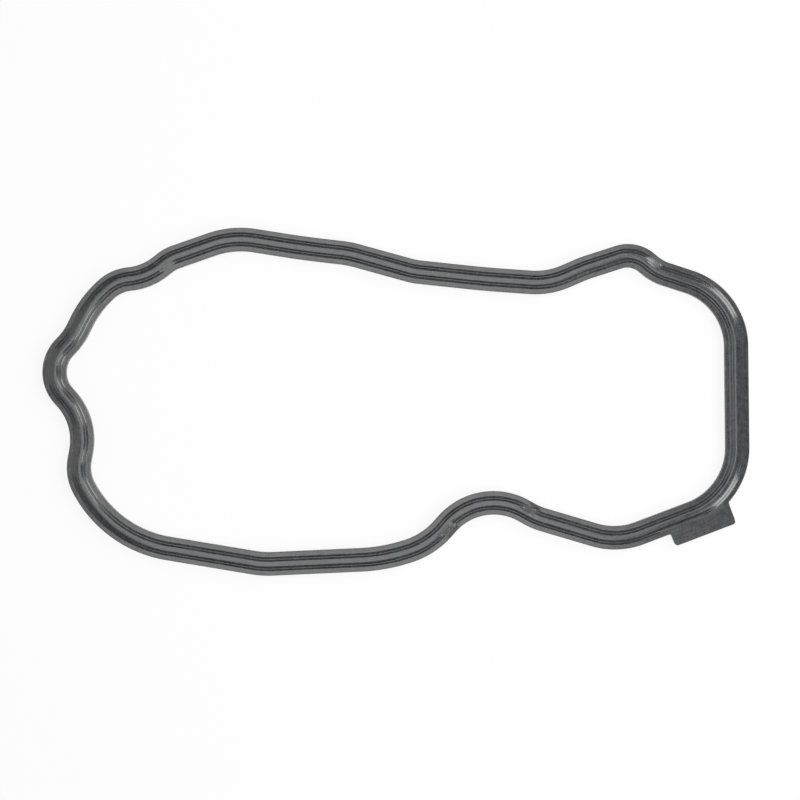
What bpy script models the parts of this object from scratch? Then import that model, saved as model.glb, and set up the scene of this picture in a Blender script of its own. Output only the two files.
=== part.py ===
"""Valve cover gasket: one closed band of moulded rubber that lies flat on Z = 0.

The band has a flat flange along each edge and a broad sealing bead in the middle, which
falls to the flange in two steps on each side, with a narrow ledge between them. A flat tab
stands out from the outer edge at the lower right. The middle line is a chain of straight
runs and arcs, given by its corners in plan, and the band is a loft along it, because the
ledges run out at some places.
"""

import math
from collections import namedtuple

import bmesh
import bpy
import numpy as np
from mathutils import Vector

OBJECT_NAME = "valve_cover_gasket"
HELPERS_NAME = "helpers"
MM = 0.001

Corner = namedtuple("Corner", "x y radius")
Run = namedtuple("Run", "start heading bend length")
LedgeBreak = namedtuple("LedgeBreak", "x y side length run_out fall")

INNER = "inner"
OUTER = "outer"

# Section of the band, across, from its middle to its edge
BEAD_WIDTH = 2.05 * MM
WALL_WIDTH = 0.25 * MM
SLOPE_WIDTH = 0.57 * MM
LEDGE_WIDTH = 0.32 * MM
LOWER_SLOPE_WIDTH = 0.78 * MM
FLANGE_WIDTH = 1.98 * MM

# Section of the band, upwards: flange, slope to the ledge, then slope and wall to the bead
FLANGE_HEIGHT = 4.1 * MM
LOWER_SLOPE_RISE = 0.4 * MM
SLOPE_RISE = 0.25 * MM
WALL_RISE = 0.15 * MM
EDGE_CHAMFER = 0.2 * MM

# Middle line in plan, anticlockwise from the crest at the top left: corner and bend radius
CORNERS = [Corner(x * MM, y * MM, radius * MM) for x, y, radius in (
    (-71.0, 69.0, 38.0),
    (-97.5, 59.7, 16.0),
    (-107.1, 52.1, 25.0),
    (-120.5, 50.6, 17.0),
    (-131.25, 40.4, 45.0),
    (-138.1, 26.5, 28.0),
    (-151.7, 12.1, 15.0),
    (-132.85, -9.0, 26.0),
    (-136.8, -31.5, 18.0),
    (-122.8, -58.8, 49.5),
    (-58.0, -69.6, 40.0),
    (-7.5, -67.3, 75.0),
    (12.0, -61.5, 33.0),
    (34.1, -36.4, 26.2),
    (57.5, -49.8, 31.0),
    (92.0, -60.0, 30.0),
    (143.1, -40.6, 29.5),
    (142.2, 43.6, 29.0),
    (109.0, 54.4, 20.0),
    (99.1, 62.6, 12.5),
    (78.0, 55.8, 50.0),
    (63.0, 49.3, 32.0),
    (36.0, 51.2, 400.0),
    (6.0, 54.4, 30.0),
    (-21.5, 62.0, 45.0),
    (-42.0, 64.4, 400.0),
)]

# Places where a ledge is missing: centre in plan, side, length, run-out, and the share of
# the width from bead to flange over which the bead falls to the flange there
LEDGE_BREAKS = [LedgeBreak(x * MM, y * MM, side, length * MM, run_out * MM, fall)
                for x, y, side, length, run_out, fall in (
    (-98.0, 56.7, INNER, 2.5, 4.5, 1.0),
    (20.4, -54.8, OUTER, 1.5, 5.0, 1.0),
    (55.2, -46.0, INNER, 0.5, 3.0, 1.0),
    (119.9, -52.2, OUTER, 14.5, 5.0, 0.55),
    (108.8, 58.1, OUTER, 3.0, 4.0, 1.0),
)]

# Tab beside the straight run that follows its corner
TAB_CORNER = 15
TAB_START = 22.5 * MM
TAB_LENGTH = 27.3 * MM
TAB_REACH = 5.6 * MM
TAB_CORNER_RADIUS = 1.2 * MM
TAB_FILLET = 1.2 * MM
TAB_ROOT_SPREAD = 3.0 * MM

# Fineness of the mesh
ARC_STEP = math.radians(6.0)
TAB_ARC_STEP = math.radians(18.0)
ROOT_STEPS = 12
SEARCH_STEP = 0.5 * MM
CLOSEST_RINGS = 0.3 * MM
WELD_DISTANCE = 0.001 * MM

RUBBER_COLOUR = (0.035, 0.035, 0.037, 1.0)
RUBBER_ROUGHNESS = 0.45
SHARP_ANGLE = math.radians(30.0)

# Distances from the middle of the band and heights, which follow from the sizes above
BEAD_OFFSET = BEAD_WIDTH / 2
WALL_OFFSET = BEAD_OFFSET + WALL_WIDTH
SLOPE_OFFSET = WALL_OFFSET + SLOPE_WIDTH
LEDGE_OFFSET = SLOPE_OFFSET + LEDGE_WIDTH
FOOT_OFFSET = LEDGE_OFFSET + LOWER_SLOPE_WIDTH
EDGE_OFFSET = FOOT_OFFSET + FLANGE_WIDTH
LEDGE_TOP = FLANGE_HEIGHT + LOWER_SLOPE_RISE
WALL_FOOT = LEDGE_TOP + SLOPE_RISE
BEAD_TOP = WALL_FOOT + WALL_RISE


def direction(heading):
    """Unit vector in plan at a heading in radians."""
    return Vector((math.cos(heading), math.sin(heading)))


def outward(heading):
    """Unit vector in plan to the right of a heading, which is out of the ring."""
    return Vector((math.sin(heading), -math.cos(heading)))


def route(corners):
    """Chain of runs that joins the corners: an arc at each corner, then a straight run."""
    count = len(corners)
    places = [Vector((corner.x, corner.y)) for corner in corners]
    legs = [places[(index + 1) % count] - places[index] for index in range(count)]
    headings = [math.atan2(leg.y, leg.x) for leg in legs]
    turns = [(headings[index] - headings[index - 1] + math.pi) % math.tau - math.pi
             for index in range(count)]
    cuts = [corner.radius * math.tan(abs(turn) / 2) for corner, turn in zip(corners, turns)]
    runs = []
    for index, corner in enumerate(corners):
        arc_start = places[index] - direction(headings[index - 1]) * cuts[index]
        bend = math.copysign(1 / corner.radius, turns[index]) if corner.radius else 0.0
        runs.append(Run(arc_start, headings[index - 1], bend, corner.radius * abs(turns[index])))
        straight_start = places[index] + direction(headings[index]) * cuts[index]
        straight_length = legs[index].length - cuts[index] - cuts[(index + 1) % count]
        runs.append(Run(straight_start, headings[index], 0.0, straight_length))
    return runs


def place_on(run, distance):
    """Point and heading at a distance along one run."""
    if run.bend == 0.0:
        return run.start + direction(run.heading) * distance, run.heading
    heading = run.heading + run.bend * distance
    centre = run.start - outward(run.heading) / run.bend
    return centre + outward(heading) / run.bend, heading


def place_at(runs, station):
    """Point and heading at a station, which is the distance along the whole route."""
    for run in runs:
        if station < run.length:
            return place_on(run, station)
        station -= run.length
    return place_on(runs[-1], runs[-1].length)


def run_stations(runs, arc_step):
    """Stations at the start of every run and at even steps along the arcs."""
    stations = []
    start = 0.0
    for run in runs:
        steps = math.ceil(abs(run.bend) * run.length / arc_step) if run.bend else 1
        if run.length > 0.0:
            stations += [start + run.length * step / steps for step in range(steps)]
        start += run.length
    return stations


def nearest_station(runs, x, y):
    """Station of the route that is nearest to a point in plan."""
    target = Vector((x, y))
    candidates = np.arange(0.0, route_length(runs), SEARCH_STEP)
    return min(candidates, key=lambda station: (place_at(runs, station)[0] - target).length)


def route_length(runs):
    """Length of the whole route."""
    return sum(run.length for run in runs)


def ledge_share(gap, centre, station, total):
    """How much of the ledge stands at a station: 0 in the break, 1 past its run-outs."""
    away = abs((station - centre + total / 2) % total - total / 2) - gap.length / 2
    return min(max(away / gap.run_out, 0.0), 1.0)


def half_section(ledge, fall):
    """Points (across, up) of one half of the section, from the bead's top to the underside."""
    steps = (
        (BEAD_OFFSET, BEAD_TOP),
        (WALL_OFFSET, WALL_FOOT),
        (SLOPE_OFFSET, LEDGE_TOP),
        (LEDGE_OFFSET, LEDGE_TOP),
        (FOOT_OFFSET, FLANGE_HEIGHT),
    )
    fall_width = fall * (FOOT_OFFSET - BEAD_OFFSET)
    points = []
    for across, whole in steps:
        fallen = min((across - BEAD_OFFSET) / fall_width, 1.0)
        plain = BEAD_TOP - fallen * (BEAD_TOP - FLANGE_HEIGHT)
        points.append((across, ledge * whole + (1 - ledge) * plain))
    points += [
        (EDGE_OFFSET - EDGE_CHAMFER, FLANGE_HEIGHT),
        (EDGE_OFFSET, FLANGE_HEIGHT - EDGE_CHAMFER),
        (EDGE_OFFSET, EDGE_CHAMFER),
        (EDGE_OFFSET - EDGE_CHAMFER, 0.0),
    ]
    return points


def section_at(breaks, station, total):
    """Closed section (across, up) at a station, from the inner edge to the outer one."""
    sides = {}
    for side in (INNER, OUTER):
        ledge, fall = 1.0, 1.0
        for gap, centre in breaks:
            share = ledge_share(gap, centre, station, total)
            if gap.side == side and share < ledge:
                ledge, fall = share, gap.fall
        sides[side] = half_section(ledge, fall)
    return [(-across, up) for across, up in reversed(sides[INNER])] + sides[OUTER]


def band_stations(runs, breaks):
    """Stations of the loft's rings, with one at each end of every ledge break and run-out."""
    total = route_length(runs)
    stations = run_stations(runs, ARC_STEP)
    for gap, centre in breaks:
        for reach in (gap.length / 2, gap.length / 2 + gap.run_out):
            for end in ((centre - reach) % total, (centre + reach) % total):
                stations = [station for station in stations if abs(station - end) > CLOSEST_RINGS]
                stations.append(end)
    return sorted(stations)


def make_band(runs, breaks):
    """Mesh of the band, lofted through a ring of points at each station."""
    total = route_length(runs)
    builder = bmesh.new()
    rings = []
    for station in band_stations(runs, breaks):
        point, heading = place_at(runs, station)
        ring = []
        for across, up in section_at(breaks, station, total):
            plan = point + outward(heading) * across
            ring.append(builder.verts.new((plan.x, plan.y, up)))
        rings.append(ring)
    for ring, following in zip(rings, rings[1:] + rings[:1]):
        for here in range(len(ring)):
            after = (here + 1) % len(ring)
            builder.faces.new((ring[here], ring[after], following[after], following[here]))
    bmesh.ops.recalc_face_normals(builder, faces=builder.faces)
    mesh = bpy.data.meshes.new(OBJECT_NAME)
    builder.to_mesh(mesh)
    builder.free()
    return mesh


def tab_outline(runs):
    """Plan of the tab, from its root on the band's middle line out to its rounded tip."""
    straight, bend = runs[2 * TAB_CORNER + 1:2 * TAB_CORNER + 3]
    corner = Vector((CORNERS[TAB_CORNER].x, CORNERS[TAB_CORNER].y))
    along = direction(straight.heading)
    out = outward(straight.heading)
    middle = [place_on(run, run.length * step / ROOT_STEPS)[0] - corner
              for run in (straight, bend) for step in range(ROOT_STEPS + 1)]
    end = TAB_START + TAB_LENGTH
    tip = EDGE_OFFSET + TAB_REACH
    far_root = np.interp(end, [spot.dot(along) for spot in middle], [spot.dot(out) for spot in middle])
    plan = (
        (TAB_START - TAB_ROOT_SPREAD, 0.0, 0.0),
        (TAB_START - TAB_ROOT_SPREAD, EDGE_OFFSET - EDGE_CHAMFER, 0.0),
        (TAB_START, EDGE_OFFSET, TAB_FILLET),
        (TAB_START, tip, TAB_CORNER_RADIUS),
        (end, tip, TAB_CORNER_RADIUS),
        (end, float(far_root), 0.0),
    )
    spots = [(corner + along * forward + out * sideways, radius) for forward, sideways, radius in plan]
    outline = route([Corner(spot.x, spot.y, radius) for spot, radius in spots])
    return [place_at(outline, station)[0] for station in run_stations(outline, TAB_ARC_STEP)]


def make_tab(runs):
    """Closed mesh object of the tab, from a flat curve that is thickened and chamfered."""
    points = tab_outline(runs)
    curve = bpy.data.curves.new("tab_outline", "CURVE")
    curve.dimensions = "2D"
    curve.fill_mode = "BOTH"
    curve.extrude = FLANGE_HEIGHT / 2 - EDGE_CHAMFER
    curve.bevel_depth = EDGE_CHAMFER
    curve.bevel_resolution = 0
    curve.offset = -EDGE_CHAMFER
    spline = curve.splines.new("POLY")
    spline.points.add(len(points) - 1)
    for spline_point, point in zip(spline.points, points):
        spline_point.co = (point.x, point.y, 0.0, 1.0)
    spline.use_cyclic_u = True
    outline = bpy.data.objects.new("tab_outline", curve)
    outline.location.z = FLANGE_HEIGHT / 2
    helpers = bpy.data.collections[HELPERS_NAME]
    helpers.objects.link(outline)
    bpy.context.view_layer.update()
    mesh = bpy.data.meshes.new_from_object(outline.evaluated_get(bpy.context.evaluated_depsgraph_get()))
    builder = bmesh.new()
    builder.from_mesh(mesh)
    bmesh.ops.remove_doubles(builder, verts=builder.verts, dist=WELD_DISTANCE)
    bmesh.ops.recalc_face_normals(builder, faces=builder.faces)
    builder.to_mesh(mesh)
    builder.free()
    tab = bpy.data.objects.new("tab_blank", mesh)
    tab.matrix_world = outline.matrix_world.copy()
    bpy.data.objects.remove(outline)
    helpers.objects.link(tab)
    tab.hide_render = True
    tab.display_type = "WIRE"
    return tab


def rubber_material():
    """Matt black moulded rubber."""
    material = bpy.data.materials.new("black_rubber")
    material.use_nodes = True
    shader = material.node_tree.nodes["Principled BSDF"]
    shader.inputs["Base Color"].default_value = RUBBER_COLOUR
    shader.inputs["Roughness"].default_value = RUBBER_ROUGHNESS
    shader.inputs["Metallic"].default_value = 0.0
    return material


def main():
    """Build the gasket, with its origin under the middle of its box."""
    for leftover in list(bpy.data.objects):
        bpy.data.objects.remove(leftover)
    for name in (OBJECT_NAME, HELPERS_NAME):
        bpy.context.scene.collection.children.link(bpy.data.collections.new(name))

    runs = route(CORNERS)
    breaks = [(gap, nearest_station(runs, gap.x, gap.y)) for gap in LEDGE_BREAKS]
    mesh = make_band(runs, breaks)
    mesh.materials.append(rubber_material())
    mesh.shade_smooth()
    mesh.set_sharp_from_angle(angle=SHARP_ANGLE)
    gasket = bpy.data.objects.new(OBJECT_NAME, mesh)
    bpy.data.collections[OBJECT_NAME].objects.link(gasket)

    tab = make_tab(runs)
    union = gasket.modifiers.new("tab", "BOOLEAN")
    union.operation = "UNION"
    union.solver = "EXACT"
    union.object = tab

    spots = [vertex.co.copy() for vertex in mesh.vertices]
    spots += [tab.matrix_world @ vertex.co for vertex in tab.data.vertices]
    middle_x = (min(spot.x for spot in spots) + max(spot.x for spot in spots)) / 2
    middle_y = (min(spot.y for spot in spots) + max(spot.y for spot in spots)) / 2
    for piece in (gasket, tab):
        piece.location.x -= middle_x
        piece.location.y -= middle_y
    bpy.context.view_layer.update()


main()
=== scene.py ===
"""Looks of the valve cover gasket: a fine mesh of the moulded band, its rubber and the studio."""

import math
from collections import namedtuple

import bmesh
import bpy
import numpy as np
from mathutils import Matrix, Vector, noise


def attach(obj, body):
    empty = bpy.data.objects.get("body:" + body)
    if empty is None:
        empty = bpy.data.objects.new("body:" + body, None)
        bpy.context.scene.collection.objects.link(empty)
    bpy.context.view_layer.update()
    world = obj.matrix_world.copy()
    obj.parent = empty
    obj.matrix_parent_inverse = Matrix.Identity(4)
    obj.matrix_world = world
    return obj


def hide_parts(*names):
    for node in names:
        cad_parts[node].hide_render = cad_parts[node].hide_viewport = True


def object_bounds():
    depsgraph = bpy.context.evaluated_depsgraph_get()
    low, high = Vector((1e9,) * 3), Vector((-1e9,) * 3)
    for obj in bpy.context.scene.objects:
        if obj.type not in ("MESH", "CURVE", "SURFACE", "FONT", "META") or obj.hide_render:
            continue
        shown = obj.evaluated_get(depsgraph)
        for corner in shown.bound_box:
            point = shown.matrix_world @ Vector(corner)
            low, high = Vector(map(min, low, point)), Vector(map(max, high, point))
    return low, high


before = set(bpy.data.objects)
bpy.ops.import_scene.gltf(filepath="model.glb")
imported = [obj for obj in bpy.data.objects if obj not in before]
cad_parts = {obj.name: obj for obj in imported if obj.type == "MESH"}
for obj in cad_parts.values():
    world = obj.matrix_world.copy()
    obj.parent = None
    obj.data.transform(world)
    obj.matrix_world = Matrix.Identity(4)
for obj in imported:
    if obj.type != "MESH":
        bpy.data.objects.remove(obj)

CAD_BOX = [list(corner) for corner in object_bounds()]
NODE = "valve_cover_gasket"
MM = 0.001

Corner = namedtuple("Corner", "x y radius")
Run = namedtuple("Run", "start heading bend length")
LedgeBreak = namedtuple("LedgeBreak", "x y side length run_out filled")
Mark = namedtuple("Mark", "x y radius depth paleness")
Lamp = namedtuple("Lamp", "name location target width height radiance")

INNER = "inner"
OUTER = "outer"

# Section of the band, across, as in the solid: the whole bead, then one side's parts to the edge
BEAD_WIDTH = 2.05 * MM
WALL_WIDTH = 0.25 * MM
SLOPE_WIDTH = 0.57 * MM
LEDGE_WIDTH = 0.32 * MM
LOWER_SLOPE_WIDTH = 0.78 * MM
FLANGE_WIDTH = 1.98 * MM

# Section of the band, upwards: flange, slope to the ledge, then slope and wall to the bead
FLANGE_HEIGHT = 4.1 * MM
LOWER_SLOPE_RISE = 0.4 * MM
SLOPE_RISE = 0.25 * MM
WALL_RISE = 0.15 * MM

# Roundings and small falls that the solid leaves out or shows as chamfers
EDGE_ROUND = 0.2 * MM
BEAD_ROUND = {INNER: 0.7 * MM, OUTER: 1.4 * MM}
BEAD_CROWN = 0.03 * MM
WALL_FILLET = 0.4 * MM
FOOT_FILLET = 0.06 * MM
LEDGE_ROUND = {INNER: 0.06 * MM, OUTER: 0.12 * MM}
LEDGE_DROP = 0.005 * MM
FLANGE_FILLET = 0.15 * MM
FLANGE_DROP = 0.01 * MM

# What each side's ledge gives up, from its start at the bead and from its end at the lower slope
LEDGE_SHIFT = {INNER: 0.0, OUTER: 0.1 * MM}
LEDGE_CUT = {INNER: 0.12 * MM, OUTER: 0.0}

# Bend of the inner lower slope: its distance from the ledge, its drop and its rounding
SLOPE_BEND_ACROSS = 0.45 * MM
SLOPE_BEND_DROP = 0.19 * MM
SLOPE_BEND_ROUND = 0.25 * MM

# Where the ledge is missing: the dip of a slope, and the place and width of a plain wall
BREAK_DIP = 0.22 * MM
PLAIN_WALL_START = 0.75 * MM
PLAIN_WALL_WIDTH = 1.5 * MM

# Unevenness of the moulded top: how far it falls, and the length along and across of its waves
WAVE_DEPTH = 0.012 * MM
WAVE_ALONG = 3.0 * MM
WAVE_ACROSS = 1.2 * MM

# Middle line in plan, anticlockwise from the crest at the top left: corner and bend radius
CORNERS = [Corner(x * MM, y * MM, radius * MM) for x, y, radius in (
    (-71.0, 69.0, 38.0),
    (-97.5, 59.7, 16.0),
    (-107.1, 52.1, 25.0),
    (-120.5, 50.6, 17.0),
    (-131.25, 40.4, 45.0),
    (-138.1, 26.5, 28.0),
    (-151.7, 12.1, 15.0),
    (-132.85, -9.0, 26.0),
    (-136.8, -31.5, 18.0),
    (-122.8, -58.8, 49.5),
    (-58.0, -69.6, 40.0),
    (-7.5, -67.3, 75.0),
    (12.0, -61.5, 33.0),
    (34.1, -36.4, 26.2),
    (57.5, -49.8, 31.0),
    (92.0, -60.0, 30.0),
    (143.1, -40.6, 29.5),
    (142.2, 43.6, 29.0),
    (109.0, 54.4, 20.0),
    (99.1, 62.6, 12.5),
    (78.0, 55.8, 50.0),
    (63.0, 49.3, 32.0),
    (36.0, 51.2, 400.0),
    (6.0, 54.4, 30.0),
    (-21.5, 62.0, 45.0),
    (-42.0, 64.4, 400.0),
)]

# Places where a ledge is missing: centre in plan, side, length, run-out, and whether an even
# slope joins bead and flange there, or the bead's plain wall
LEDGE_BREAKS = [LedgeBreak(x * MM, y * MM, side, length * MM, run_out * MM, filled)
                for x, y, side, length, run_out, filled in (
    (-98.0, 56.7, INNER, 2.5, 4.5, True),
    (20.4, -54.8, OUTER, 1.0, 7.0, True),
    (55.2, -46.0, INNER, 0.0, 5.0, True),
    (118.5, -52.7, OUTER, 4.0, 15.0, False),
    (108.8, 58.1, OUTER, 1.0, 7.0, True),
)]

# Small marks on the top: place in plan, radius, depth (below 0 for a raised spot) and how pale
# they are (below 0 for a dark one). The dark one is painted shade, laid into a shallow pit where
# the break's shaded lines end
MARKS = [Mark(x * MM, y * MM, radius * MM, depth * MM, paleness) for x, y, radius, depth, paleness in (
    (79.2, 53.9, 0.55, -0.03, 0.5),
    (-101.2, 54.7, 0.6, -0.05, 0.45),
    (21.3, -52.5, 0.9, -0.05, 0.5),
    # painted shade: a dark spot in a shallow pit, where the break's shaded lines end
    (21.3, -54.6, 0.8, 0.1, -0.5),
    (55.2, -48.4, 0.5, -0.04, 0.5),
    (32.8, 53.7, 0.5, -0.1, 0.3),
)]

# Tab beside the straight run that follows its corner: the corner's index, where the tab starts from
# it, its length, how far it stands out from the edge, and the roundings and root of its outline
TAB_CORNER = 15
TAB_START = 22.5 * MM
TAB_LENGTH = 27.3 * MM
TAB_REACH = 5.6 * MM
TAB_CORNER_RADIUS = 1.2 * MM
TAB_FILLET = 1.2 * MM
TAB_ROOT_SPREAD = 3.0 * MM

# Fineness of the mesh along the band, with closer rings at the tab's near end, and of the tab
RING_STEP = 0.65 * MM
TAB_END_STEP = 0.03 * MM
TAB_END_MARGIN = 0.1 * MM
TAB_END_RINGS = 8
TAB_ARC_STEP = math.radians(6.0)
ROOT_STEPS = 12

# Fineness of the mesh across the band
ARC_STEPS = 2
ARC_STEP = 0.12 * MM
BEAD_STEPS = 3
EDGE_STEPS = 3
FLANGE_STEPS = 5
EDGE_SUPPORT = 0.06 * MM
WALL_STEPS = 2
UNDERSIDE_STEPS = 3

# Step of the search for a place on the middle line, digits of the ledge's share that tell one
# section from another, and the product under which a ray and a line count as parallel
SEARCH_STEP = 0.5 * MM
SHARE_DIGITS = 4
PARALLEL_LIMIT = 1e-12

# Distances from the middle of the band and heights, which follow from the sizes above
BEAD_OFFSET = BEAD_WIDTH / 2
WALL_OFFSET = BEAD_OFFSET + WALL_WIDTH
SLOPE_OFFSET = WALL_OFFSET + SLOPE_WIDTH
LEDGE_OFFSET = SLOPE_OFFSET + LEDGE_WIDTH
FOOT_OFFSET = LEDGE_OFFSET + LOWER_SLOPE_WIDTH
EDGE_OFFSET = FOOT_OFFSET + FLANGE_WIDTH
LEDGE_TOP = FLANGE_HEIGHT + LOWER_SLOPE_RISE
WALL_FOOT = LEDGE_TOP + SLOPE_RISE
BEAD_TOP = WALL_FOOT + WALL_RISE
BEAD_RISE = BEAD_TOP - FLANGE_HEIGHT
EDGE_UP = FLANGE_HEIGHT - FLANGE_DROP

# Rubber: darkest and palest tone, the marks' tones (the dark one painted shade), its gloss and the range
# of its roughness
RUBBER_DARK = (0.0145, 0.0148, 0.0165, 1.0)
RUBBER_PALE = (0.0658, 0.067, 0.0708, 1.0)
MARK_PALE = (0.25, 0.25, 0.25, 1.0)
MARK_PAINTED_SHADE = (0.006, 0.006, 0.006, 1.0)
SPECULAR_LEVEL = 0.78
ROUGHNESS_LOW = 0.09
ROUGHNESS_HIGH = 0.2

# Rubber: waves a metre of its patterns (the streaks' along and across), their detail, the noise
# values that count as lowest and highest, and the grain's relief
MOTTLE_WAVES = 420.0
SPECKLE_WAVES = 1300.0
GRAIN_WAVES = 3000.0
SKIN_WAVES = 650.0
STREAK_WAVES = (90.0, 1700.0, 1.0)
MOTTLE_DETAIL = 3.0
FINE_DETAIL = 2.0
NOISE_LOW = 0.33
NOISE_HIGH = 0.67
GRAIN_STRENGTH = 0.15
GRAIN_DEPTH = 0.05 * MM

# Rubber: share of the second pattern in each mix of two, and where a mark's tint starts to fade
# and ends, in radii
SPECKLE_SHARE = 0.45
STREAK_SHARE = 0.3
SKIN_SHARE = 0.5
GRAIN_SHARE = 0.5
MARK_FADE_START = 0.5
MARK_FADE_END = 1.4

# Floor: its side, how far it lies below the part, its paint, and how much of the camera's view
# of it is plain white rather than lit paint
FLOOR_SIDE = 4.0
FLOOR_GAP = 0.1 * MM
FLOOR_PAINT = (0.95, 0.95, 0.95, 1.0)
FLOOR_ROUGHNESS = 0.9
FLOOR_WHITE_SHARE = 0.87

# Radiance of the surroundings, where 1 is white: all round, added at the sides and added above.
# A higher power gathers the sides' part, and a value just over 1 keeps a division from zero
BASE_LEVEL = 0.026
SIDE_LEVEL = 0.58
TOP_LEVEL = 0.22
SIDE_POWER = 1.5
JUST_OVER_ONE = 1.0001

# Studio lamps: place, the point each one faces, width, height and radiance
LAMPS = (
    Lamp("overhead", (-0.0425, 0.0, 1.4), (-0.0425, 0.0, 0.0), 0.585, 1.1, 2.18),
    Lamp("fill_back", (0.49, 0.37, 1.2), (0.49, 0.37, 0.0), 0.41, 0.5, 1.1),
    Lamp("fill_front", (0.49, -0.37, 1.2), (0.49, -0.37, 0.0), 0.41, 0.5, 1.1),
    Lamp("left_panel", (-0.6, 0.08, 0.32), (-0.1, 0.0, 0.0), 0.36, 1.2, 0.58),
    Lamp("right_back", (0.75, 0.47, 0.7), (0.0, 0.0, 0.0), 0.36, 0.75, 5.76),
    Lamp("right_front", (0.75, -0.45, 0.7), (0.0, 0.0, 0.0), 0.36, 0.75, 5.76),
)

# Camera: straight above the middle of the photograph, at its scale
PHOTO_WIDTH = 0.3397
CAMERA_HEIGHT = 1.0
SENSOR_WIDTH = 36.0
CLIP_END = 20.0


def direction(heading):
    """Unit vector in plan at a heading in radians."""
    return Vector((math.cos(heading), math.sin(heading)))


def outward(heading):
    """Unit vector in plan to the right of a heading, which is out of the ring."""
    return Vector((math.sin(heading), -math.cos(heading)))


def route(corners):
    """Chain of runs that joins the corners: an arc at each corner, then a straight run."""
    count = len(corners)
    places = [Vector((corner.x, corner.y)) for corner in corners]
    legs = [places[(index + 1) % count] - places[index] for index in range(count)]
    headings = [math.atan2(leg.y, leg.x) for leg in legs]
    turns = [(headings[index] - headings[index - 1] + math.pi) % math.tau - math.pi
             for index in range(count)]
    cuts = [corner.radius * math.tan(abs(turn) / 2) for corner, turn in zip(corners, turns)]
    runs = []
    for index, corner in enumerate(corners):
        arc_start = places[index] - direction(headings[index - 1]) * cuts[index]
        bend = math.copysign(1 / corner.radius, turns[index]) if corner.radius else 0.0
        runs.append(Run(arc_start, headings[index - 1], bend, corner.radius * abs(turns[index])))
        straight_start = places[index] + direction(headings[index]) * cuts[index]
        straight_length = legs[index].length - cuts[index] - cuts[(index + 1) % count]
        runs.append(Run(straight_start, headings[index], 0.0, straight_length))
    return runs


def place_on(run, distance):
    """Point and heading at a distance along one run."""
    if run.bend == 0.0:
        return run.start + direction(run.heading) * distance, run.heading
    heading = run.heading + run.bend * distance
    centre = run.start - outward(run.heading) / run.bend
    return centre + outward(heading) / run.bend, heading


def place_at(runs, station):
    """Point and heading at a station, which is the distance along the whole route."""
    for run in runs:
        if station < run.length:
            return place_on(run, station)
        station -= run.length
    return place_on(runs[-1], runs[-1].length)


def route_length(runs):
    """Length of the whole route."""
    return sum(run.length for run in runs)


def run_points(runs, arc_step):
    """Points at the start of every run and at even steps along the arcs."""
    points = []
    for run in runs:
        steps = max(1, math.ceil(abs(run.bend) * run.length / arc_step))
        points += [place_on(run, run.length * step / steps)[0] for step in range(steps)]
    return points


def nearest_station(runs, x, y):
    """Station of the route that is nearest to a point in plan."""
    target = Vector((x, y))
    candidates = np.arange(0.0, route_length(runs), SEARCH_STEP)
    return min(candidates, key=lambda station: (place_at(runs, station)[0] - target).length)


def smooth(share):
    """Share from 0 to 1 with soft ends."""
    share = min(max(share, 0.0), 1.0)
    return share * share * (3 - 2 * share)


def ledge_share(gap, centre, station, total):
    """How much of the ledge stands at a station: 0 in the break, 1 past its run-outs."""
    away = abs((station - centre + total / 2) % total - total / 2) - gap.length / 2
    return smooth(away / gap.run_out)


def whole_ridges(side):
    """Points (across, up) of one side from the bead's middle to the flange, all rounded.

    Only the inner side has a wall at the bead's edge and a bend in the slope below its ledge.
    """
    wall = []
    lower_slope = []
    if side == INNER:
        bend_across = LEDGE_OFFSET + SLOPE_BEND_ACROSS
        wall = [Corner(WALL_OFFSET, WALL_FOOT, WALL_FILLET)]
        lower_slope = [Corner(bend_across, LEDGE_TOP - SLOPE_BEND_DROP, SLOPE_BEND_ROUND)]
    corners = [
        Corner(0.0, BEAD_TOP - BEAD_CROWN / 2, 0.0),
        Corner(BEAD_OFFSET, BEAD_TOP - BEAD_CROWN, BEAD_ROUND[side]),
        *wall,
        Corner(SLOPE_OFFSET + LEDGE_SHIFT[side], LEDGE_TOP, FOOT_FILLET),
        Corner(LEDGE_OFFSET - LEDGE_CUT[side], LEDGE_TOP - LEDGE_DROP, LEDGE_ROUND[side]),
        *lower_slope,
        Corner(FOOT_OFFSET, FLANGE_HEIGHT, FLANGE_FILLET),
        Corner(EDGE_OFFSET, EDGE_UP, 0.0),
        Corner(0.0, 0.0, 0.0),
    ]
    runs = route(corners)
    bead_end = runs[2].start.x
    points = []
    for step in range(BEAD_STEPS):
        across = bead_end * step / BEAD_STEPS
        points.append((across, BEAD_TOP - BEAD_CROWN * (across / BEAD_OFFSET) ** 2))
    for index in range(1, len(corners) - 2):
        arc = runs[2 * index]
        steps = max(ARC_STEPS, round(arc.length / ARC_STEP))
        for step in range(steps + 1):
            spot = place_on(arc, arc.length * step / steps)[0]
            points.append((spot.x, spot.y))
    return points


def ridge_points(whole, ledge, filled):
    """The whole ridges with the ledge run out: ledge is how much of it stands.

    Where it is missing and filled, the bead falls and the flange rises by a dip and an even
    slope joins them. Where it isn't filled, the bead's wall goes straight down to the flange.
    """
    points = []
    for across, up in whole:
        if filled:
            share = min(max((across - BEAD_OFFSET) / (FOOT_OFFSET - BEAD_OFFSET), 0.0), 1.0)
            dip = BREAK_DIP * smooth(across / BEAD_OFFSET)
            plain = BEAD_TOP - dip - share * (BEAD_RISE - 2 * BREAK_DIP)
        else:
            wall = smooth((across - PLAIN_WALL_START) / PLAIN_WALL_WIDTH)
            plain = BEAD_TOP - BEAD_CROWN / 2 - wall * (BEAD_RISE - BEAD_CROWN / 2)
        points.append((across, ledge * up + (1 - ledge) * plain))
    return points


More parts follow.
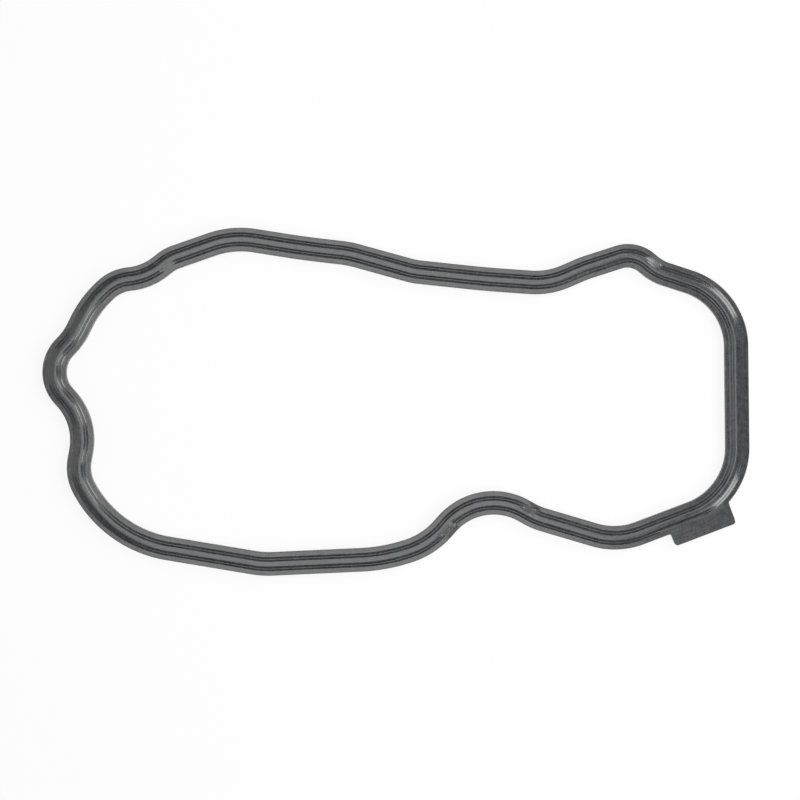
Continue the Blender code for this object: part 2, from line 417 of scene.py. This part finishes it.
def edge_points(foot, reach):
    """Points from the foot of the slopes over the flange, round its edge and to the underside.

    foot is the last point of the ridges, and reach gives the distance of the edge from the
    middle line for each inset from the edge.
    """
    foot_across, foot_up = foot
    flat = reach[0] - EDGE_SUPPORT - foot_across
    points = []
    for step in range(1, FLANGE_STEPS + 1):
        share = step / FLANGE_STEPS
        points.append((foot_across + flat * share, foot_up + (EDGE_UP - foot_up) * share))
    points.append((reach[0], EDGE_UP))
    arc = [math.pi / 2 * step / EDGE_STEPS for step in range(EDGE_STEPS + 1)]
    points += [(across, EDGE_UP - EDGE_ROUND * (1 - math.cos(angle)))
               for across, angle in zip(reach[1:], arc[1:])]
    wall = EDGE_UP - 2 * EDGE_ROUND
    points += [(reach[-1], EDGE_ROUND + wall * (1 - step / WALL_STEPS)) for step in range(1, WALL_STEPS)]
    points += [(across, EDGE_ROUND * (1 - math.cos(angle)))
               for across, angle in zip(reversed(reach), reversed(arc))]
    return points


def edge_insets():
    """Insets from the edge of the points that round it, from the flat to the wall."""
    return [EDGE_ROUND * (1 - math.sin(math.pi / 2 * step / EDGE_STEPS)) for step in range(EDGE_STEPS + 1)]


def tab_outline(runs, inset):
    """Outer line of the tab in plan, moved in by an inset, as a list of points."""
    straight, bend = runs[2 * TAB_CORNER + 1:2 * TAB_CORNER + 3]
    corner = Vector((CORNERS[TAB_CORNER].x, CORNERS[TAB_CORNER].y))
    along = direction(straight.heading)
    out = outward(straight.heading)
    middle = [place_on(run, run.length * step / ROOT_STEPS)[0] - corner
              for run in (straight, bend) for step in range(ROOT_STEPS + 1)]
    start = TAB_START + inset
    end = TAB_START + TAB_LENGTH - inset
    edge = EDGE_OFFSET - inset
    tip = EDGE_OFFSET + TAB_REACH - inset
    forwards = [spot.dot(along) for spot in middle]
    sideways = [spot.dot(out) for spot in middle]
    far_root = float(np.interp(end, forwards, sideways))
    plan = (
        (start, far_root, 0.0),
        (TAB_START - TAB_ROOT_SPREAD, far_root, 0.0),
        (TAB_START - TAB_ROOT_SPREAD, edge, 0.0),
        (start, edge, TAB_FILLET + inset),
        (start, tip, TAB_CORNER_RADIUS - inset),
        (end, tip, TAB_CORNER_RADIUS - inset),
        (end, far_root, 0.0),
    )
    spots = [(corner + along * forward + out * aside, radius) for forward, aside, radius in plan]
    return run_points(route([Corner(spot.x, spot.y, radius) for spot, radius in spots]), TAB_ARC_STEP)


def farthest_crossing(point, ray, outline):
    """Farthest distance along a ray from a point at which it crosses an outline, or 0."""
    farthest = 0.0
    for here, there in zip(outline, outline[1:] + outline[:1]):
        leg = there - here
        across = ray.x * leg.y - ray.y * leg.x
        if abs(across) < PARALLEL_LIMIT:
            continue
        offset = here - point
        distance = (offset.x * leg.y - offset.y * leg.x) / across
        share = (offset.x * ray.y - offset.y * ray.x) / across
        if 0.0 <= share <= 1.0:
            farthest = max(farthest, distance)
    return farthest


def band_stations(runs):
    """Stations of the loft's rings: even ones, and close ones where the tab's near end stands out."""
    total = route_length(runs)
    count = round(total / RING_STEP)
    stations = [total * index / count for index in range(count)]
    before = sum(run.length for run in runs[:2 * TAB_CORNER + 1])
    cut = (runs[2 * TAB_CORNER + 1].start - Vector((CORNERS[TAB_CORNER].x, CORNERS[TAB_CORNER].y))).length
    near_end = before + TAB_START - cut
    stations = [s for s in stations if not near_end - TAB_FILLET < s < near_end + TAB_CORNER_RADIUS]
    close = np.arange(near_end - TAB_END_MARGIN, near_end + EDGE_ROUND + TAB_END_MARGIN, TAB_END_STEP)
    wide = list(np.linspace(near_end - TAB_FILLET, close[0], TAB_END_RINGS)[:-1])
    wide += list(np.linspace(close[-1], near_end + TAB_CORNER_RADIUS, TAB_END_RINGS)[1:])
    return sorted(stations + wide + [float(station) for station in close])


def sink(plan, station, across, up):
    """How far a point of the moulded top lies under its plain section: waves and marks."""
    if up < FLANGE_HEIGHT - EDGE_ROUND:
        return 0.0
    wave = noise.noise(Vector((station / WAVE_ALONG, across / WAVE_ACROSS, 0.0)))
    fall = WAVE_DEPTH * (1 - wave) / 2
    for mark in MARKS:
        away = (plan - Vector((mark.x, mark.y))).length / mark.radius
        fall += mark.depth * smooth(1 - away)
    return fall


def make_band():
    """Mesh object of the band and its tab, lofted through a fine section at each station."""
    runs = route(CORNERS)
    total = route_length(runs)
    breaks = [(gap, nearest_station(runs, gap.x, gap.y)) for gap in LEDGE_BREAKS]
    insets = edge_insets()
    outlines = [tab_outline(runs, inset) for inset in insets]
    tab_middle = sum(outlines[-1], Vector((0.0, 0.0))) / len(outlines[-1])
    sections = {}
    whole = {side: whole_ridges(side) for side in (INNER, OUTER)}

    def ridges(side, station):
        """Ridge points of one side at a station."""
        ledge, filled = 1.0, True
        for gap, centre in breaks:
            share = ledge_share(gap, centre, station, total)
            if gap.side == side and share < ledge:
                ledge, filled = share, gap.filled
        key = (side, round(ledge, SHARE_DIGITS), filled)
        if key not in sections:
            sections[key] = ridge_points(whole[side], ledge, filled)
        return sections[key]

    plain_reach = [EDGE_OFFSET - inset for inset in insets]
    builder = bmesh.new()
    unrolled = builder.loops.layers.uv.new("unrolled")
    rings = []
    spread = []
    stations = band_stations(runs)
    for station in stations:
        point, heading = place_at(runs, station)
        side = outward(heading)
        reach = plain_reach
        if (point - tab_middle).length < TAB_LENGTH:
            crossings = [farthest_crossing(point, side, outline) for outline in outlines]
            reach = [max(plain, crossing) for plain, crossing in zip(plain_reach, crossings)]
        inner_ridges = ridges(INNER, station)
        outer_ridges = ridges(OUTER, station)
        inner = inner_ridges[1:] + edge_points(inner_ridges[-1], plain_reach)
        outer = outer_ridges + edge_points(outer_ridges[-1], reach)
        under_start = -plain_reach[0]
        under_end = reach[0]
        under = [(under_end + (under_start - under_end) * step / UNDERSIDE_STEPS, 0.0)
                 for step in range(1, UNDERSIDE_STEPS)]
        ring = []
        section = [(-across, up) for across, up in reversed(inner)] + outer + under
        spread.append([across for across, up in section])
        for across, up in section:
            plan = point + side * across
            fall = sink(plan, station, across, up)
            ring.append(builder.verts.new((plan.x, plan.y, min(up - fall, BEAD_TOP))))
        rings.append(ring)
    for index, ring in enumerate(rings):
        index_after = (index + 1) % len(rings)
        following = rings[index_after]
        station_after = stations[index_after] if index_after else total
        for here in range(len(ring)):
            after = (here + 1) % len(ring)
            face = builder.faces.new((ring[here], ring[after], following[after], following[here]))
            face.loops[0][unrolled].uv = (stations[index], spread[index][here])
            face.loops[1][unrolled].uv = (stations[index], spread[index][after])
            face.loops[2][unrolled].uv = (station_after, spread[index_after][after])
            face.loops[3][unrolled].uv = (station_after, spread[index_after][here])
    bmesh.ops.recalc_face_normals(builder, faces=builder.faces)
    mesh = bpy.data.meshes.new("gasket_rubber")
    builder.to_mesh(mesh)
    builder.free()
    centre = fit_to_solid(mesh)
    mesh.shade_smooth()
    band = bpy.data.objects.new("gasket_rubber", mesh)
    bpy.context.scene.collection.objects.link(band)
    return band, centre


def fit_to_solid(mesh):
    """Centre the mesh on the solid's box and draw it in to fit, and return its old middle.

    The solid's arcs are chords, so the finer mesh is a few hundredths of a millimetre wider.
    """
    middle = Vector((0.0, 0.0, 0.0))
    scale = Vector((1.0, 1.0, 1.0))
    for axis in range(2):
        places = [vertex.co[axis] for vertex in mesh.vertices]
        low, high = min(places), max(places)
        middle[axis] = (low + high) / 2
        scale[axis] = min(1.0, (CAD_BOX[1][axis] - CAD_BOX[0][axis]) / (high - low))
    for vertex in mesh.vertices:
        vertex.co = (vertex.co - middle) * scale
    return middle


def rubber_material(middle):
    """Black moulded rubber: a satin skin with fine grain, faint flow streaks and small marks, of which the
    dark one is painted shade.

    middle is the place of the mesh's origin in the plan in which the marks are given.
    """
    material = bpy.data.materials.new("black_rubber")
    material.use_nodes = True
    nodes = material.node_tree.nodes
    links = material.node_tree.links
    shader = nodes["Principled BSDF"]

    def add(kind, values, output=0, **settings):
        """Output of a new node whose sockets take values or links."""
        node = nodes.new(kind)
        for setting, value in settings.items():
            setattr(node, setting, value)
        for socket, value in values.items():
            if isinstance(value, bpy.types.NodeSocket):
                links.new(value, node.inputs[socket])
            else:
                node.inputs[socket].default_value = value
        return node.outputs[output]

    def noise_field(vector, waves, detail):
        """Noise with a number of waves for each unit of a vector."""
        return add("ShaderNodeTexNoise", {"Vector": vector, "Scale": waves, "Detail": detail})

    def spread(field, low, high):
        """Noise stretched so that its usual range runs from low to high."""
        ends = {"From Min": NOISE_LOW, "From Max": NOISE_HIGH, "To Min": low, "To Max": high}
        return add("ShaderNodeMapRange", {"Value": field, **ends})

    def blend(first, second, share):
        """Mix of two fields with a share of the second; sockets 2 and 3 take numbers."""
        return add("ShaderNodeMix", {0: share, 2: first, 3: second})

    def tint(share, first, second):
        """Mix of two colours with a share of the second; sockets 6 and 7 take colours."""
        return add("ShaderNodeMix", {0: share, 6: first, 7: second}, output=2, data_type="RGBA")

    place = add("ShaderNodeTexCoord", {}, output="Object")
    unrolled = add("ShaderNodeUVMap", {}, uv_map="unrolled")
    flow = add("ShaderNodeVectorMath", {0: unrolled, 1: STREAK_WAVES}, operation="MULTIPLY")
    streaks = noise_field(flow, 1.0, FINE_DETAIL)
    mottle = noise_field(place, MOTTLE_WAVES, MOTTLE_DETAIL)
    speckle = noise_field(place, SPECKLE_WAVES, FINE_DETAIL)
    grain = noise_field(place, GRAIN_WAVES, FINE_DETAIL)

    tone = blend(blend(mottle, speckle, SPECKLE_SHARE), streaks, STREAK_SHARE)
    colour = tint(spread(tone, 0.0, 1.0), RUBBER_DARK, RUBBER_PALE)
    for mark in MARKS:
        spot = (mark.x - middle.x, mark.y - middle.y, BEAD_TOP)
        away = add("ShaderNodeVectorMath", {0: place, 1: spot}, output="Value", operation="DISTANCE")
        fade = {"From Min": MARK_FADE_START * mark.radius, "From Max": MARK_FADE_END * mark.radius,
                "To Min": abs(mark.paleness), "To Max": 0.0}
        near = add("ShaderNodeMapRange", {"Value": away, **fade})
        # the dark mark's tint is painted shade in its pit; the pale marks are pale spots on the rubber
        colour = tint(near, colour, MARK_PALE if mark.paleness > 0 else MARK_PAINTED_SHADE)
    links.new(colour, shader.inputs["Base Color"])
    shader.inputs["Specular IOR Level"].default_value = SPECULAR_LEVEL

    skin = blend(streaks, noise_field(place, SKIN_WAVES, FINE_DETAIL), SKIN_SHARE)
    links.new(spread(skin, ROUGHNESS_LOW, ROUGHNESS_HIGH), shader.inputs["Roughness"])

    relief = blend(speckle, grain, GRAIN_SHARE)
    bump = add("ShaderNodeBump", {"Height": relief, "Strength": GRAIN_STRENGTH, "Distance": GRAIN_DEPTH})
    links.new(bump, shader.inputs["Normal"])
    return material


def make_floor():
    """Plain white floor that keeps the gasket's shadow."""
    bpy.ops.mesh.primitive_plane_add(size=FLOOR_SIDE, location=(0.0, 0.0, -FLOOR_GAP))
    floor = bpy.context.object
    floor.name = "floor"
    material = bpy.data.materials.new("floor_white")
    material.use_nodes = True
    nodes = material.node_tree.nodes
    links = material.node_tree.links
    shader = nodes["Principled BSDF"]
    shader.inputs["Base Color"].default_value = FLOOR_PAINT
    shader.inputs["Roughness"].default_value = FLOOR_ROUGHNESS
    shader.inputs["Specular IOR Level"].default_value = 0.0
    path = nodes.new("ShaderNodeLightPath")
    emission = nodes.new("ShaderNodeEmission")
    emission.inputs["Strength"].default_value = 1.0
    share = nodes.new("ShaderNodeMath")
    share.operation = "MULTIPLY"
    share.inputs[1].default_value = FLOOR_WHITE_SHARE
    mix = nodes.new("ShaderNodeMixShader")
    links.new(path.outputs["Is Camera Ray"], share.inputs[0])
    links.new(share.outputs[0], mix.inputs["Fac"])
    links.new(shader.outputs[0], mix.inputs[1])
    links.new(emission.outputs[0], mix.inputs[2])
    links.new(mix.outputs[0], nodes["Material Output"].inputs["Surface"])
    floor.data.materials.append(material)


def area_light(lamp):
    """Rectangular light at a lamp's place, facing its target, with its radiance."""
    light = bpy.data.lights.new(lamp.name, "AREA")
    light.shape = "RECTANGLE"
    light.size = lamp.width
    light.size_y = lamp.height
    light.energy = lamp.radiance * lamp.width * lamp.height * math.pi
    holder = bpy.data.objects.new(lamp.name, light)
    holder.location = lamp.location
    holder.visible_camera = False
    facing = Vector(lamp.target) - Vector(lamp.location)
    holder.rotation_euler = facing.to_track_quat("-Z", "Y").to_euler()
    bpy.context.scene.collection.objects.link(holder)


def make_world():
    """Level all round: dark to the front and back, paler to both sides, and middling above."""
    world = bpy.data.worlds.new("studio")
    bpy.context.scene.world = world
    world.use_nodes = True
    nodes = world.node_tree.nodes
    links = world.node_tree.links

    def calculate(operation, first, second):
        """Output of a math node on two values, each a socket or a number."""
        node = nodes.new("ShaderNodeMath")
        node.operation = operation
        for socket, value in zip(node.inputs, (first, second)):
            if isinstance(value, float):
                socket.default_value = value
            else:
                links.new(value, socket)
        return node.outputs[0]

    place = nodes.new("ShaderNodeTexCoord")
    axes = nodes.new("ShaderNodeSeparateXYZ")
    links.new(place.outputs["Generated"], axes.inputs[0])
    across = calculate("MULTIPLY", axes.outputs["X"], axes.outputs["X"])
    upward = calculate("MULTIPLY", axes.outputs["Z"], axes.outputs["Z"])
    level = calculate("SUBTRACT", JUST_OVER_ONE, upward)
    sides = calculate("POWER", calculate("DIVIDE", across, level), SIDE_POWER)
    low = calculate("MULTIPLY", calculate("MULTIPLY", sides, level), SIDE_LEVEL)
    high = calculate("MULTIPLY", calculate("MULTIPLY", upward, upward), TOP_LEVEL)
    total = calculate("ADD", calculate("ADD", low, high), BASE_LEVEL)
    nodes["Background"].inputs["Color"].default_value = (1.0, 1.0, 1.0, 1.0)
    links.new(total, nodes["Background"].inputs["Strength"])


def make_lights():
    """Soft box above, two dim ones beside it, a dim panel at the left and two boxes at the right."""
    for lamp in LAMPS:
        area_light(lamp)


def make_camera(centre):
    """Camera straight above the middle of the photograph."""
    data = bpy.data.cameras.new("camera")
    data.sensor_width = SENSOR_WIDTH
    data.lens = SENSOR_WIDTH * CAMERA_HEIGHT / PHOTO_WIDTH
    data.clip_end = CLIP_END
    camera = bpy.data.objects.new("camera", data)
    camera.location = (-centre.x, -centre.y, CAMERA_HEIGHT)
    bpy.context.scene.collection.objects.link(camera)
    bpy.context.scene.camera = camera


def main():
    """Dress the gasket and set the studio."""
    band, centre = make_band()
    band.data.materials.append(rubber_material(centre))
    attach(band, "root")
    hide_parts(NODE)
    make_floor()
    make_world()
    make_lights()
    make_camera(centre)
    bpy.context.scene.view_settings.view_transform = "Standard"


main()
